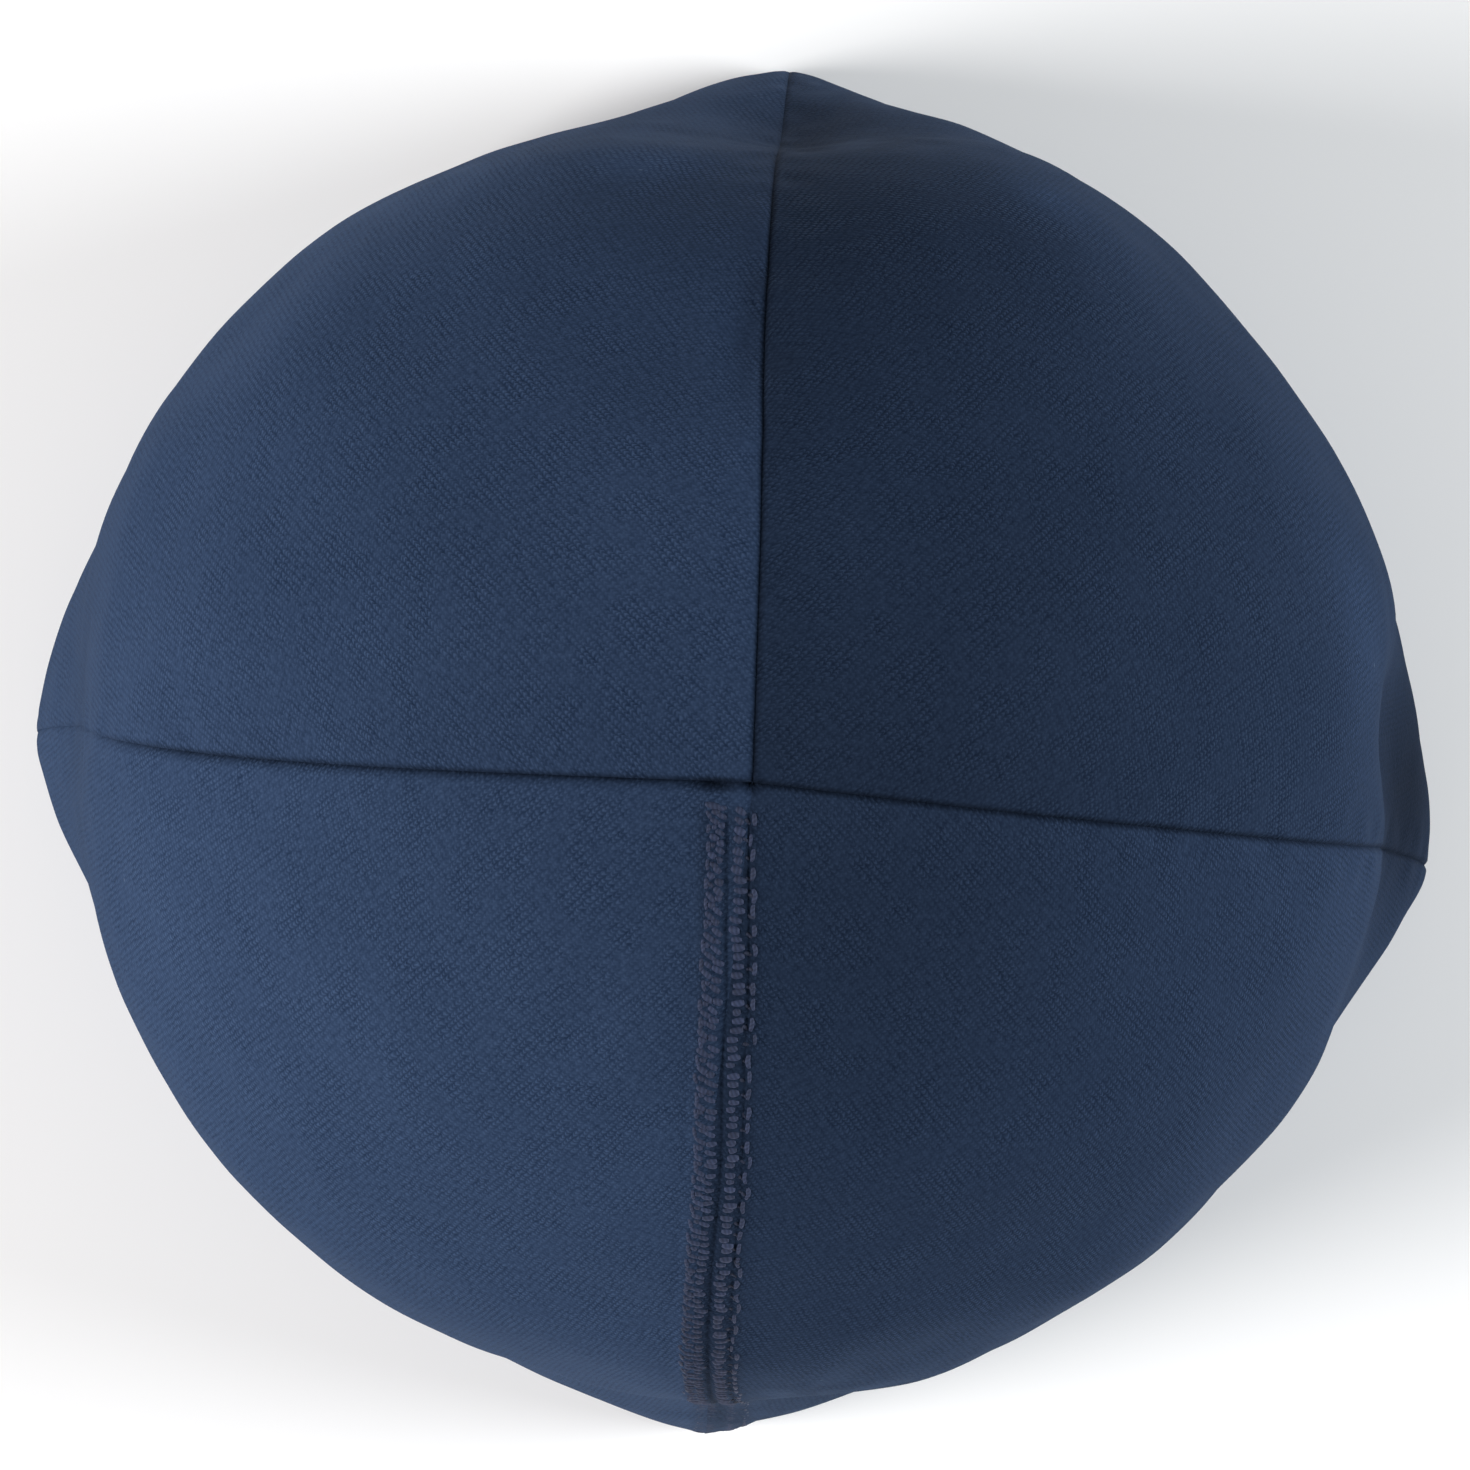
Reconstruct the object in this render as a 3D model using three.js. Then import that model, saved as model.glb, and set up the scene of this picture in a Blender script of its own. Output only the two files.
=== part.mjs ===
// A reversible beanie standing on its rim: a full, smooth crown sewn from four jersey panels, open below.
// Both layers of jersey, turned over at the rim, make one wall. Millimetres, +Z up, +Y towards the forehead,
// with the closing seam at the back, -Y.
import * as THREE from 'three';

// Cloth
const WALL = 2.0; // two layers of jersey
const SEAM_GAP = 0.4; // clearance between neighbouring panels
const GROOVE_WIDTH = 2.2; // how far from a seam the sewn edges start to turn in
const TIP_ROUNDING = 3.5; // degrees round the crown over which a ridge is blunt

// Crown
const CROWN_HEIGHT = 148;
const CROWN_SLOPE_LENGTH = 200; // along the cloth from the rim to the crown point
const CROWN_POINT = { x: 1.0, y: -0.8 }; // how far the top leans off the middle

// Flatlock closing seam, a raised strip over the back seam
const STRIP_WIDTH = 6.2;
const STRIP_THICKNESS = 0.7;
const STRIP_CLEARANCE = 0.35;
const STRIP_FROM = 0.02; // share of the way up from the rim where the strip starts
const STRIP_TO = 0.985;
const STRIP_SHIFT = 3.1; // how far to the left of the crown point the strip ends
const STRIP_BENDS_AT = 28; // from the crown point, and from here down the strip lies on the seam

// Mesh steps
const STEPS_ACROSS = 18;
const STEPS_UP = 28;
const STRIP_STEPS = 44;
const SLOPE_STEP = 0.002; // share of the way up over which the cloth's slope is taken

// The four seams. Degrees round the crown from +X towards +Y, at the rim, at the shoulder and near the top.
// waist is the seam's radius where the crown is widest, reach is how far its end flares out at the rim, and
// before and after are for how many degrees the flare runs out into the panels on both sides. groove is the
// depth of the seam line.
const SEAMS = {
  right: { rim: -6.0, shoulder: -3.8, top: -3.0, waist: 85.8, reach: 95.9, before: 34, after: 22, groove: 0.8 },
  front: { rim: 88.8, shoulder: 90.1, top: 91.8, waist: 80.6, reach: 91.7, before: 11, after: 16, groove: 0.8 },
  left: { rim: 183.0, shoulder: 181.1, top: 182.0, waist: 86.0, reach: 94.0, before: 18, after: 22, groove: 1.0 },
  back: { rim: 272.0, shoulder: 271.2, top: 268.0, waist: 84.4, reach: 93.2, before: 32, after: 26, groove: 0 },
};

// The four panels, each from one seam round to the next, with its own radius where the crown is widest, at
// one, two and three quarters of the way across.
const PANELS = [
  { name: 'panel_front_right', from: 'right', to: 'front', first: 89.0, middle: 87.2, last: 88.2 },
  { name: 'panel_front_left', from: 'front', to: 'left', first: 85.2, middle: 87.3, last: 88.7 },
  { name: 'panel_back_left', from: 'left', to: 'back', first: 86.6, middle: 86.2, last: 84.7 },
  { name: 'panel_back_right', from: 'back', to: 'right', first: 84.8, middle: 85.0, last: 85.6 },
];

// The crown's side, from the rim to the crown point. panel and seam are shares of the widest radius, flare is
// how much of a seam end's kick outwards shows, and spread is how many degrees from a seam the ridge or the
// hollow along it reaches.
const PROFILE = [
  { height: 0, panel: 0.99, seam: 0.99, flare: 1.0, spread: 10 },
  { height: 12, panel: 0.998, seam: 0.995, flare: 0.98, spread: 10 },
  { height: 28, panel: 1.006, seam: 1.0, flare: 0.72, spread: 11 },
  { height: 45, panel: 1.006, seam: 1.0, flare: 0.25, spread: 14 },
  { height: 62, panel: 1.0, seam: 1.0, flare: 0, spread: 20 },
  { height: 78, panel: 0.985, seam: 0.99, flare: 0, spread: 24 },
  { height: 92, panel: 0.95, seam: 0.965, flare: 0, spread: 28 },
  { height: 108, panel: 0.865, seam: 0.895, flare: 0, spread: 35 },
  { height: 121, panel: 0.745, seam: 0.785, flare: 0, spread: 40 },
  { height: 131, panel: 0.61, seam: 0.66, flare: 0, spread: 45 },
  { height: 138, panel: 0.48, seam: 0.545, flare: 0, spread: 45 },
  { height: 143, panel: 0.335, seam: 0.4, flare: 0, spread: 45 },
  { height: 146.4, panel: 0.165, seam: 0.205, flare: 0, spread: 45 },
  { height: CROWN_HEIGHT, panel: 0, seam: 0, flare: 0, spread: 45 },
];

// Folds and dents in the cloth: where each lies (degrees round the crown, and the share of the way up from
// the rim), its half-widths across and along the slope, and its depth. The last two are the hollows in which
// the dome meets the flares of the right and the back seam.
const DENTS = [
  { angle: 94.5, up: 0.68, across: 4, along: 12, depth: 1.4 },
  { angle: 238, up: 0.81, across: 5, along: 16, depth: 0.8 },
  { angle: 302, up: 0.83, across: 5, along: 16, depth: 0.8 },
  { angle: 292, up: 0.745, across: 4, along: 11, depth: 0.9 },
  { angle: 7, up: 0.34, across: 10, along: 20, depth: 4.5 },
  { angle: 283, up: 0.31, across: 8, along: 13, depth: 2.0 },
];

// A smooth curve through evenly spaced values, read from 0, at the first, to 1, at the last.
function smoothThrough(values) {
  const curve = new THREE.SplineCurve(values.map((value, i) => new THREE.Vector2(i, value)));
  return (place) => curve.getPoint(place).y;
}

const profile = {};
for (const column of ['height', 'panel', 'seam', 'flare', 'spread']) {
  profile[column] = smoothThrough(PROFILE.map((row) => row[column]));
}
for (const seam of Object.values(SEAMS)) {
  seam.angleAt = smoothThrough([seam.rim, seam.shoulder, seam.top, seam.top]);
}
for (const panel of PANELS) {
  panel.radiusAt = smoothThrough([panel.first, panel.first, panel.middle, panel.last, panel.last]);
}

// How much of a seam's ridge is left this many degrees round from it: 1 on the seam, 0 past the taut cloth.
function ridge(degrees, spread) {
  const rounded = Math.hypot(degrees, TIP_ROUNDING) - TIP_ROUNDING;
  return (1 - Math.min(1, rounded / spread)) ** 2;
}

// What a seam adds to a panel's radius this many degrees from it, in its ridge or hollow and in its flare.
function seamPull(seam, side, degrees, body, up) {
  const waist = seam.waist * profile.seam(up);
  const flare = (seam.reach - waist) * profile.flare(up);
  return (waist - body) * ridge(degrees, profile.spread(up)) + flare * ridge(degrees, seam[side]);
}

// A place on the smooth crown, as its angle in degrees, its radius from the leaning axis and its height.
function crownPlace(panel, across, up) {
  const from = SEAMS[panel.from];
  const to = SEAMS[panel.to];
  const start = from.angleAt(up);
  let end = to.angleAt(up);
  if (end < start) end += 360;
  const angle = start + (end - start) * across;
  const body = panel.radiusAt(across) * profile.panel(up);
  const fromPull = seamPull(from, 'after', angle - start, body, up);
  const toPull = seamPull(to, 'before', end - angle, body, up);
  return { angle, start, end, radius: body + fromPull + toPull, height: profile.height(up) };
}

// How far the cloth lies below the smooth crown at a place, in its seam grooves and dents.
function sunkBy(panel, place, up) {
  const perDegree = THREE.MathUtils.degToRad(1) * place.radius;
  const fromSeam = (place.angle - place.start) * perDegree;
  const toSeam = (place.end - place.angle) * perDegree;
  const fromGroove = SEAMS[panel.from].groove * Math.exp(-((fromSeam / GROOVE_WIDTH) ** 2));
  const toGroove = SEAMS[panel.to].groove * Math.exp(-((toSeam / GROOVE_WIDTH) ** 2));
  let depth = Math.max(fromGroove, toGroove);
  for (const dent of DENTS) {
    const turned = THREE.MathUtils.euclideanModulo(place.angle - dent.angle + 180, 360) - 180;
    const sideways = (turned * perDegree) / dent.across;
    const along = ((up - dent.up) * CROWN_SLOPE_LENGTH) / dent.along;
    depth += dent.depth * Math.exp(-(sideways ** 2) - along ** 2);
  }
  return depth;
}

// A point of the cloth's face, lifted off the smooth crown square to its slope. aside moves it round the
// crown, in millimetres.
function crownPoint(panel, across, up, lift, aside) {
  const place = crownPlace(panel, across, up);
  const below = crownPlace(panel, across, Math.max(0, up - SLOPE_STEP));
  const above = crownPlace(panel, across, Math.min(1, up + SLOPE_STEP));
  const rise = above.height - below.height;
  const inward = below.radius - above.radius;
  const slope = Math.hypot(rise, inward);
  const angle = THREE.MathUtils.degToRad(place.angle);
  const radius = place.radius + (lift * rise) / slope;
  const height = place.height + (lift * inward) / slope;
  const lean = (place.height / CROWN_HEIGHT) ** 2;
  return new THREE.Vector3(
    CROWN_POINT.x * lean + radius * Math.cos(angle) - aside * Math.sin(angle),
    CROWN_POINT.y * lean + radius * Math.sin(angle) + aside * Math.cos(angle),
    height,
  );
}

// The corner of a panel at the crown point, kept clear of the seams on both sides.
function panelTip(panel, lift) {
  const place = crownPlace(panel, 0.5, 1);
  const halfTurn = THREE.MathUtils.degToRad((place.end - place.start) / 2);
  const angle = THREE.MathUtils.degToRad(place.angle);
  const away = SEAM_GAP / 2 / Math.sin(halfTurn);
  return new THREE.Vector3(
    CROWN_POINT.x + away * Math.cos(angle),
    CROWN_POINT.y + away * Math.sin(angle),
    CROWN_HEIGHT + lift,
  );
}

// Points and faces of one closed body, gathered piece by piece.
class Shell {
  constructor() {
    this.points = [];
    this.faces = [];
  }

  add(point) {
    this.points.push(point.x, point.y, point.z);
    return this.points.length / 3 - 1;
  }

  quad(a, b, c, d) {
    this.faces.push(a, b, c, a, c, d);
  }

  geometry() {
    const geometry = new THREE.BufferGeometry();
    geometry.setAttribute('position', new THREE.Float32BufferAttribute(this.points, 3));
    geometry.setIndex(this.faces);
    geometry.computeVertexNormals();
    return geometry;
  }
}

// Steps across a panel, closer together at its sewn edges.
function shareAcross(step) {
  return 0.5 - 0.5 * Math.cos((Math.PI * step) / STEPS_ACROSS);
}

// One panel as a closed wall: its face, its lining side, its two sewn edges and its rim.
function panelGeometry(panel) {
  const shell = new Shell();
  const face = [];
  const lining = [];
  for (let j = 0; j < STEPS_UP; j++) {
    const up = j / STEPS_UP;
    face.push([]);
    lining.push([]);
    for (let i = 0; i <= STEPS_ACROSS; i++) {
      const across = shareAcross(i);
      const aside = (0.5 - across) * SEAM_GAP;
      const sunk = sunkBy(panel, crownPlace(panel, across, up), up);
      const outer = crownPoint(panel, across, up, -sunk, aside);
      const inner = crownPoint(panel, across, up, -sunk - WALL, aside);
      if (j === 0) {
        outer.z = 0;
        inner.z = 0;
      }
      face[j].push(shell.add(outer));
      lining[j].push(shell.add(inner));
    }
  }
  for (let j = 0; j < STEPS_UP - 1; j++) {
    for (let i = 0; i < STEPS_ACROSS; i++) {
      shell.quad(face[j][i], face[j][i + 1], face[j + 1][i + 1], face[j + 1][i]);
      shell.quad(lining[j][i + 1], lining[j][i], lining[j + 1][i], lining[j + 1][i + 1]);
    }
    const last = STEPS_ACROSS;
    shell.quad(lining[j][0], face[j][0], face[j + 1][0], lining[j + 1][0]);
    shell.quad(face[j][last], lining[j][last], lining[j + 1][last], face[j + 1][last]);
  }
  for (let i = 0; i < STEPS_ACROSS; i++) {
    shell.quad(lining[0][i], lining[0][i + 1], face[0][i + 1], face[0][i]);
  }
  closeAtCrownPoint(shell, panel, face[STEPS_UP - 1], lining[STEPS_UP - 1]);
  return shell.geometry();
}

// The last row of a panel, drawn together into its corner at the crown point.
function closeAtCrownPoint(shell, panel, face, lining) {
  const sunk = Math.max(SEAMS[panel.from].groove, SEAMS[panel.to].groove);
  const top = shell.add(panelTip(panel, -sunk));
  const under = shell.add(panelTip(panel, -sunk - WALL));
  const last = STEPS_ACROSS;
  for (let i = 0; i < last; i++) {
    shell.faces.push(face[i], face[i + 1], top);
    shell.faces.push(lining[i + 1], lining[i], under);
  }
  shell.quad(lining[0], face[0], top, under);
  shell.quad(face[last], lining[last], under, top);
}

// A point over the back seam, this far to the right of it and this far off the smooth crown.
function overBackSeam(right, up, lift) {
  const panel = PANELS.find((row) => (right < 0 ? row.to : row.from) === 'back');
  const seamEdge = right < 0 ? 1 : 0;
  const { start, end, radius } = crownPlace(panel, seamEdge, up);
  const inwardPerUp = (radius - crownPlace(panel, seamEdge, up + SLOPE_STEP).radius) / SLOPE_STEP;
  const turn = THREE.MathUtils.radToDeg(Math.atan2(Math.abs(right), radius)) / (end - start);
  // Beside the crown point, a step to the side is also a step away from it, down the slope.
  const further = up > 0.5 ? (Math.hypot(right, radius) - radius) / inwardPerUp : 0;
  return crownPoint(panel, right < 0 ? 1 - turn : turn, up - further, lift, 0);
}

// The flatlock strip: a flat band laid over the back seam, which ends to the left of the crown point.
function stripGeometry() {
  const shell = new Shell();
  const [backRight] = PANELS.filter((row) => row.from === 'back');
  const rings = [];
  for (let j = 0; j <= STRIP_STEPS; j++) {
    const up = STRIP_FROM + ((STRIP_TO - STRIP_FROM) * j) / STRIP_STEPS;
    const { radius } = crownPlace(backRight, 0, up);
    const middle = -STRIP_SHIFT * Math.max(0, 1 - radius / STRIP_BENDS_AT);
    const lower = [];
    const upper = [];
    for (const side of [-1, 0, 1]) {
      const right = middle + (side * STRIP_WIDTH) / 2;
      lower.push(shell.add(overBackSeam(right, up, STRIP_CLEARANCE)));
      upper.push(shell.add(overBackSeam(right, up, STRIP_CLEARANCE + STRIP_THICKNESS)));
    }
    rings.push([...upper, ...lower.reverse()]);
  }
  const around = rings[0].length;
  for (let j = 0; j < STRIP_STEPS; j++) {
    for (let k = 0; k < around; k++) {
      const next = (k + 1) % around;
      shell.quad(rings[j][k], rings[j][next], rings[j + 1][next], rings[j + 1][k]);
    }
  }
  closeStripEnd(shell, [...rings[0]].reverse());
  closeStripEnd(shell, rings[STRIP_STEPS]);
  return shell.geometry();
}

// An end of the strip: its ring is three points above and the same three below, in turn.
function closeStripEnd(shell, ring) {
  const [upperA, upperB, upperC, lowerC, lowerB, lowerA] = ring;
  shell.quad(upperA, upperB, lowerB, lowerA);
  shell.quad(upperB, upperC, lowerC, lowerB);
}

const jersey = { color: 0x2e3d58, roughness: 0.95, metalness: 0 };
const thread = { color: 0x35364f, roughness: 0.8, metalness: 0 };

function piece(name, geometry, finish) {
  const mesh = new THREE.Mesh(geometry, new THREE.MeshStandardMaterial(finish));
  mesh.name = name;
  return mesh;
}

const beanie = new THREE.Group();
for (const panel of PANELS) {
  beanie.add(piece(panel.name, panelGeometry(panel), jersey));
}
beanie.add(piece('closing_seam', stripGeometry(), thread));

// Stand the hat over the middle of its own outline.
const outline = new THREE.Box3().setFromObject(beanie);
const middle = outline.getCenter(new THREE.Vector3());
beanie.position.set(-middle.x, -middle.y, 0);
beanie.updateMatrixWorld(true);

export default beanie;
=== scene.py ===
"""The looks of the reversible beanie: four navy jersey panels, their seams, the flatlock closing seam with
its threads, and the pale studio that it stands in. Sizes are in millimetres, unless they say metres."""

import math

import bmesh
import bpy
import numpy as np
from mathutils import Matrix, Vector


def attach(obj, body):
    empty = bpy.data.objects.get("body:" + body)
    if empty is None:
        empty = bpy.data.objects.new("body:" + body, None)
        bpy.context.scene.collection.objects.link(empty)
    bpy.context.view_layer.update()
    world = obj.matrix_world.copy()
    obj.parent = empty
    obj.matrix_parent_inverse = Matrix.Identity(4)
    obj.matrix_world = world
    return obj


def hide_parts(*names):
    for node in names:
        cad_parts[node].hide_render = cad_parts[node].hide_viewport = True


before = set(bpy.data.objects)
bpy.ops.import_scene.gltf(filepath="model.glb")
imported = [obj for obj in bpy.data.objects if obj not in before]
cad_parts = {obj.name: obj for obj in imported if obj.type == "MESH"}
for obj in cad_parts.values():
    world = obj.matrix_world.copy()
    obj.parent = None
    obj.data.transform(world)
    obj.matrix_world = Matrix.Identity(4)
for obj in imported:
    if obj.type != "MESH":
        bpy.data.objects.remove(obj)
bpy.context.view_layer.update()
MM = 0.001

# ---------------------------------------------------------------- the crown's shape, as in the CAD

WALL = 2.0  # both layers of jersey
CROWN_HEIGHT = 148.0
CROWN_POINT = (1.0, -0.8)  # how far the top leans off the crown's axis
TIP_ROUNDING = 3.5  # degrees round the crown over which a ridge is blunt

# The four seams. Degrees round the crown from +X towards +Y, at the rim, at the shoulder and near the top;
# the seam's radius where the crown is widest, and how far its end flares out at the rim; for how many degrees
# the flare runs out into the panel before it and the one after it.
SEAMS = {
    "right": dict(rim=-6.0, shoulder=-3.8, top=-3.0, waist=85.8, reach=95.9, before=34, after=22),
    "front": dict(rim=88.8, shoulder=90.1, top=91.8, waist=80.6, reach=91.7, before=11, after=16),
    "left": dict(rim=183.0, shoulder=181.1, top=182.0, waist=86.0, reach=94.0, before=18, after=22),
    "back": dict(rim=272.0, shoulder=271.2, top=268.0, waist=84.4, reach=93.2, before=32, after=26),
}

# Each panel's radius where the crown is widest, at one, two and three quarters of the way across.
PANELS = {
    "panel_front_right": dict(seams=("right", "front"), radii=(89.0, 87.2, 88.2)),
    "panel_front_left": dict(seams=("front", "left"), radii=(85.2, 87.3, 88.7)),
    "panel_back_left": dict(seams=("left", "back"), radii=(86.6, 86.2, 84.7)),
    "panel_back_right": dict(seams=("back", "right"), radii=(84.8, 85.0, 85.6)),
}

# The crown's side from the rim to the crown point: its height, the panel's and the seam's share of the
# widest radius, how much of a seam end's flare shows, and how many degrees from a seam its ridge or hollow
# reaches.
PROFILE = np.array(
    [
        (0, 0.99, 0.99, 1.0, 10),
        (12, 0.998, 0.995, 0.98, 10),
        (28, 1.006, 1.0, 0.72, 11),
        (45, 1.006, 1.0, 0.25, 14),
        (62, 1.0, 1.0, 0, 20),
        (78, 0.985, 0.99, 0, 24),
        (92, 0.95, 0.965, 0, 28),
        (108, 0.865, 0.895, 0, 35),
        (121, 0.745, 0.785, 0, 40),
        (131, 0.61, 0.66, 0, 45),
        (138, 0.48, 0.545, 0, 45),
        (143, 0.335, 0.4, 0, 45),
        (146.4, 0.165, 0.205, 0, 45),
        (CROWN_HEIGHT, 0, 0, 0, 45),
    ]
)

# Folds and dents: degrees round the crown, share of the way up, half-widths across and along, and depth.
# The first is the pinch beside the front seam.
DENTS = [
    (94.5, 0.68, 4, 12, 1.4),
    (238, 0.81, 5, 16, 0.8),
    (302, 0.83, 5, 16, 0.8),
    (292, 0.745, 4, 11, 0.9),
    (7, 0.34, 10, 20, 4.5),
    (283, 0.31, 8, 13, 2.0),
]


def smooth_through(values):
    """A smooth curve through evenly spaced values, read from 0, at the first, to 1, at the last."""
    values = np.asarray(values, float)
    last = len(values) - 1
    slopes = np.gradient(values)
    slopes[0] = (values[1] - values[0]) / 2
    slopes[-1] = (values[-1] - values[-2]) / 2

    def read(place):
        at = np.clip(np.asarray(place, float), 0, 1) * last
        i = np.minimum(at.astype(int), last - 1)
        t = at - i
        start, end, rise, fall = values[i], values[i + 1], slopes[i], slopes[i + 1]
        bend = (2 * (start - end) + rise + fall) * t + 3 * (end - start) - 2 * rise - fall
        return (bend * t + rise) * t + start

    return read


height_at, panel_at, seam_at, flare_at, spread_at = (smooth_through(column) for column in PROFILE.T)


def seam_angle(seam, up):
    """Where a seam runs, in degrees round the crown, at a share of the way up."""
    row = SEAMS[seam]
    return smooth_through([row["rim"], row["shoulder"], row["top"], row["top"]])(up)


def ridge(degrees, spread):
    """How much of a seam's ridge is left this many degrees from it: 1 on the seam, 0 past the taut cloth."""
    rounded = np.hypot(degrees, TIP_ROUNDING) - TIP_ROUNDING
    return (1 - np.clip(rounded / spread, 0, 1)) ** 2


def panel_edges(panel, up):
    """The angles of a panel's two seams, the second one past the first."""
    first, second = PANELS[panel]["seams"]
    start = seam_angle(first, up)
    end = seam_angle(second, up)
    return start, np.where(end < start, end + 360, end)


def crown_radius(panel, across, up):
    """Radius and angle of the smooth crown, before grooves and folds."""
    start, end = panel_edges(panel, up)
    angle = start + (end - start) * across
    one, two, three = PANELS[panel]["radii"]
    body = smooth_through([one, one, two, three, three])(across) * panel_at(up)
    radius = body
    first, second = (SEAMS[seam] for seam in PANELS[panel]["seams"])
    for seam, away, side in ((first, angle - start, "after"), (second, end - angle, "before")):
        waist = seam["waist"] * seam_at(up)
        flare = (seam["reach"] - waist) * flare_at(up)
        radius = radius + (waist - body) * ridge(away, spread_at(up)) + flare * ridge(away, seam[side])
    return radius, angle


# The groove in which the cloth turns down into each seam: its width and depth on the side before the seam and
# on the side after it, and the share of the depth that is left at the rim. The back seam is flat, under its
# flatlock.
GROOVES = {
    "right": dict(before=(0.8, 0.6), after=(0.7, 0.5), at_rim=0.7),
    "front": dict(before=(0.8, 0.4), after=(0.8, 0.45), at_rim=0.35),
    "left": dict(before=(0.6, 0.4), after=(1.5, 1.0), at_rim=0.2),
    "back": dict(before=(1.0, 0.0), after=(1.0, 0.0), at_rim=0.0),
}
GROOVE_DEEPENS = (0.4, 0.6)  # the shares of the way up between which it comes to its full depth

# Small forms where the seams cross, from the crown point towards +X and +Y: their middle, their half-widths
# and how far they stand out. The second is the corner of the left seam's allowance, pulled under the next
# panel.
CROSSING_FORMS = [
    (0.0, -0.3, 0.9, 0.8, -1.1),
    (-4.8, -0.5, 2.4, 0.8, -1.2),
    (3.2, -2.9, 2.2, 1.8, 0.6),
]
CROSSING_ABOVE = 0.8  # the share of the way up from which there are any

# The cloth's unevenness: the seed, the number of waves that it sums, and how far apart its humps are.
PUCKERS = (11, 40, 7.0)  # small, beside the sewing
PUCKER_HEIGHT = 0.1
PUCKER_REACH = 5.0  # from the seam
SLACK = (12, 30, 34.0)  # broad, between the seams
SLACK_HEIGHT = 0.28
SLACK_FULL_AT = 12  # from the seam
RIPPLES = (13, 60, 11.0)  # faint, on all the cloth
RIPPLE_HEIGHT = 0.03
RIPPLES_FULL_AT = 3  # from the seam

# Painted shade by panel: how light each panel is painted beside the lightest one. The right-hand panels,
# away from the key lamp, are painted darker.
PANEL_PAINTED_SHADE = {
    "panel_front_right": 0.53,
    "panel_front_left": 0.96,
    "panel_back_left": 1.0,
    "panel_back_right": 0.63,
}
SEAM_PAINTED_SHADE = 0.5  # painted shade: how much darker the cloth is painted right at a seam, where its groove is shadowed
SEAM_PAINTED_SHADE_REACH = 0.5  # from the seam
BAND_PAINTED_SHADE = 0.27  # painted shade: how much darker the cloth is painted between the flatlock's stitches, under the threads
CROWN_PAINTED_SHADE = 0.13  # painted shade: how much darker the cloth is painted round the crown point
CROWN_PAINTED_SHADE_REACH = 45  # from the crown point

# Patches of painted light and shade: degrees round the crown, share of the way up, half-widths across and
# along, and how much darker they paint the cloth, less than 0 for painted light. They paint the shadow in the
# right seam's flare, shade on the front's steep side, the shadow of the pinch by the front seam, shade on the
# left side and on the back right panel, the shadow in the back's crease, and light strips on the crown's
# edge.
PAINTED_LIGHT_AND_SHADE = [
    (1, 0.2, 19, 32, 0.7),
    (89, 0.38, 24, 42, 0.48),
    (93, 0.64, 2.2, 11, 0.3),
    (181, 0.3, 34, 24, 0.16),
    (302, 0.85, 30, 28, 0.2),
    (277, 0.36, 8, 7, 0.3),
    (17, 0.49, 13, 9, -0.3),
    (103, 0.47, 8, 6, -0.5),
    (66, 0.47, 6, 6, -0.4),
]

# The flatlock band over the back seam.
BAND_HALF = 3.9  # half its width
BAND_EDGE = 0.9  # half the width over which its edge slopes down
BAND_RISE = 0.4
# The grooves along the band: how far to the right of its middle, how wide and how deep.
BAND_GROOVES = [(-0.1, 0.45, 0.35), (2.6, 0.35, 0.3)]
BAND_SHIFT = 3.1  # how far to the left of the crown point it starts
BAND_BENDS_AT = 28  # from the crown point, and here it lies on the seam
BAND_SWAY = 2.0  # how far to the right of the seam it lies from the shoulder down
BAND_SWAYED_AT = 55  # from the crown point, where it has come that far
BAND_STARTS_AT = 3.0  # from the crown point
BAND_COMES_UP = (BAND_STARTS_AT - 1.5, BAND_STARTS_AT + 2)  # its first end rises between these
BAND_FLAT_SHARE = 0.3  # of its rise and grooves, which is left near the rim, where the cloth is stretched
BAND_FLATTENS = (0.2, 0.45)  # the shares of the way up between which it flattens

STITCH_PITCH = 2.4
FIRST_STITCH = BAND_STARTS_AT + 0.8  # from the crown point
STITCHES_END = 1.0  # above the rim
PITCHES_LEFT_OUT = 2  # next to that end, where the cloth is about to turn under
# The cover stitches of one pitch: the places where a bunched thread starts and ends, right of the band's
# middle and down along it, its radius, and how light it is beside the cloth. That lightness is partly the
# threads' tone and partly painted shade, darkest on the thin link right of the middle. They leave small dark
# gaps between them.
STITCHES = [
    ((-3.45, 0.0), (-2.0, 0.5), 0.5, 0.9),
    ((-2.2, 0.55), (-0.9, 0.3), 0.5, 0.78),
    ((-3.3, 1.2), (-2.3, 1.3), 0.46, 0.78),
    ((-2.3, 1.4), (-0.9, 1.75), 0.48, 0.9),
    ((-3.5, 0.9), (-3.3, 2.3), 0.36, 0.85),
    ((0.45, 0.3), (2.0, 0.4), 0.6, 0.92),
    ((0.5, 1.5), (1.9, 1.55), 0.54, 0.78),
    ((2.2, 0.9), (3.0, 1.5), 0.32, 0.5),
    ((3.2, 0.2), (3.15, 1.9), 0.36, 0.82),
]
STITCH_SEED = 21
THREAD_POINTS = 9
THREAD_STRAYS = 0.13  # how far a thread's ends and middle stray from their places
THREAD_RADII = (0.85, 1.1)  # the least and most, beside the stitch's own radius
THREAD_LIGHTS = (0.8, 1.1)  # the least and most, beside the stitch's own lightness
THREAD_SUNK = (0.4, 0.6)  # the least and most of its radius by which a thread lies in the cloth
SUNK_AT_RIM = 0.4  # how much deeper it lies near the rim
SINKS = (0.25, 0.6)  # the shares of the way up between which it comes to lie deeper
RIM_THREAD_PAINTED_SHADE = 0.62  # painted shade: how light the threads near the rim are painted beside those on the crown
LIGHTENS = (0.45, 0.75)  # the shares of the way up between which they grow lighter


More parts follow.
